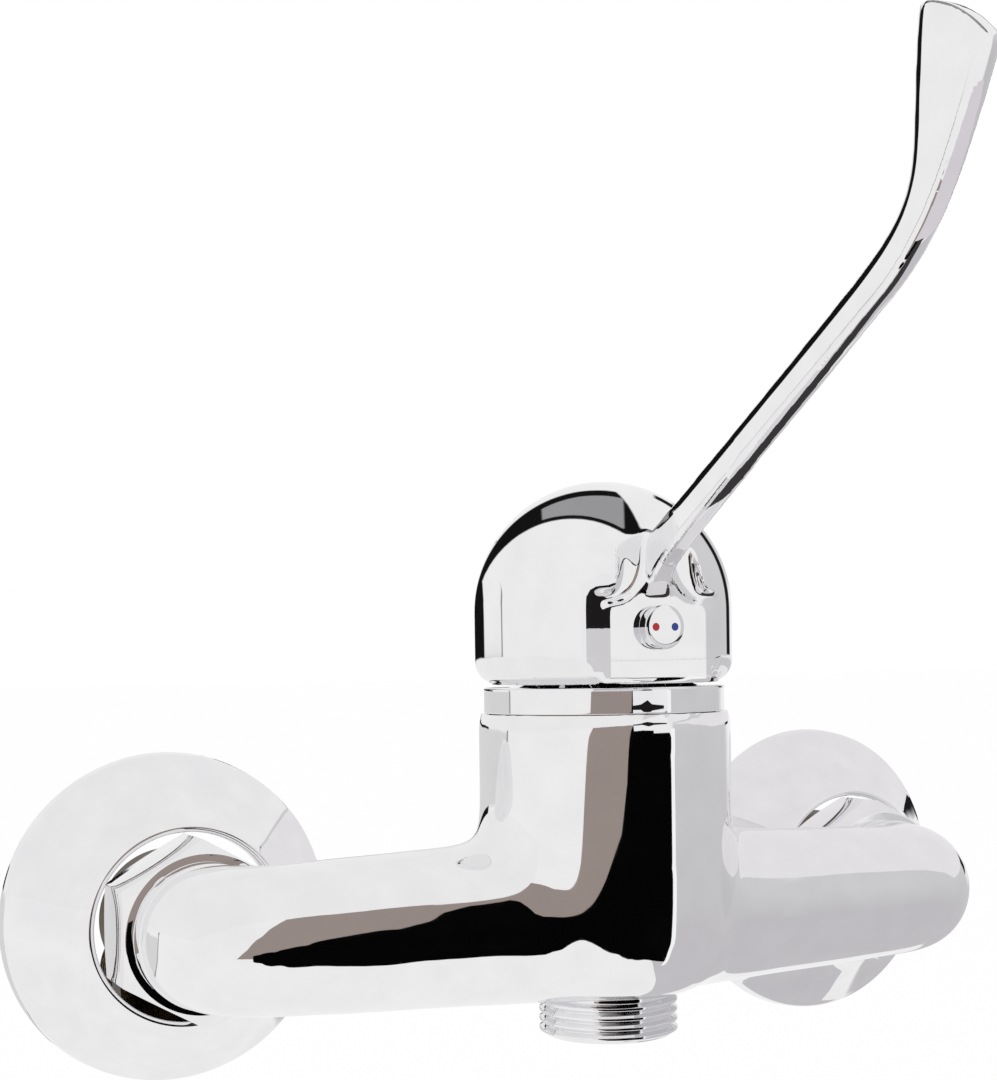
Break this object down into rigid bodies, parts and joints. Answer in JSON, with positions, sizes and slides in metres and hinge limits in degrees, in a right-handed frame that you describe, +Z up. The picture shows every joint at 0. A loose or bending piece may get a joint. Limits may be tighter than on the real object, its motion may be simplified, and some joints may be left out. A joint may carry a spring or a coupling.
{
  "type": "shower mixer",
  "caption": "Wall-mounted single-lever shower mixer with a long raised lever, domed handle, two rosettes and a threaded hose outlet below.",
  "frame": {"origin": "the point on the finished wall midway between the two inlets, level with the arms' axes", "axes": "+X to the right for a person facing the mixer (hot inlet at -X), +Y into the wall, +Z up"},
  "size_m": [0.214, 0.1689, 0.1726],
  "materials": {
    "chrome": "mirror-polished plating on cast brass",
    "brass": "machined",
    "steel": "turned stainless steel",
    "rubber": "moulded",
    "grey_plastic": "moulded",
    "white_plastic": "moulded",
    "ceramic": "lapped",
    "chrome_plastic": "metallised",
    "red_paint": "plain red",
    "blue_paint": "plain blue"
  },
  "bodies": {
    "body": {"body_casting": "chrome", "outlet_nipple": "chrome", "cartridge_base": "grey_plastic", "cartridge_base_seals": "rubber", "fixed_ceramic_disc": "ceramic", "cartridge_housing": "grey_plastic", "cartridge_clamp_nut": "brass", "trim_ring": "chrome", "hot_inlet_nipple": "brass", "hot_union_washer": "rubber", "hot_union_nut": "chrome", "hot_eccentric_union": "brass", "hot_rosette": "chrome", "cold_inlet_nipple": "brass", "cold_union_washer": "rubber", "cold_union_nut": "chrome", "cold_eccentric_union": "brass", "cold_rosette": "chrome"},
    "rotor": {"cartridge_rotor": "white_plastic", "spindle_hinge_pin": "steel"},
    "lever": {"lever_handle": "chrome", "spindle": "brass", "grub_screw": "steel", "index_button": "chrome_plastic", "hot_dot": "red_paint", "cold_dot": "blue_paint"},
    "disc": {"disc_carrier": "grey_plastic", "moving_ceramic_disc": "ceramic"}
  },
  "joints": [
    {"name": "lever_turn", "type": "hinge", "parent": "body", "child": "rotor", "pos_m": [0, -0.0425, 0.043], "axis": [0, 0, 1], "range_deg": [-45, 45]},
    {"name": "lever_lift", "type": "hinge", "parent": "rotor", "child": "lever", "pos_m": [0, -0.0385, 0.043], "axis": [-1, 0, 0], "range_deg": [0, 20]},
    {"name": "disc_slide", "type": "slide", "parent": "rotor", "child": "disc", "axis": [0, -1, 0], "range_m": [0, 0.00701]}
  ],
  "couplings": [
    {"joint": "disc_slide", "follows": "lever_lift", "m_per_rad": 0.019694}
  ]
}
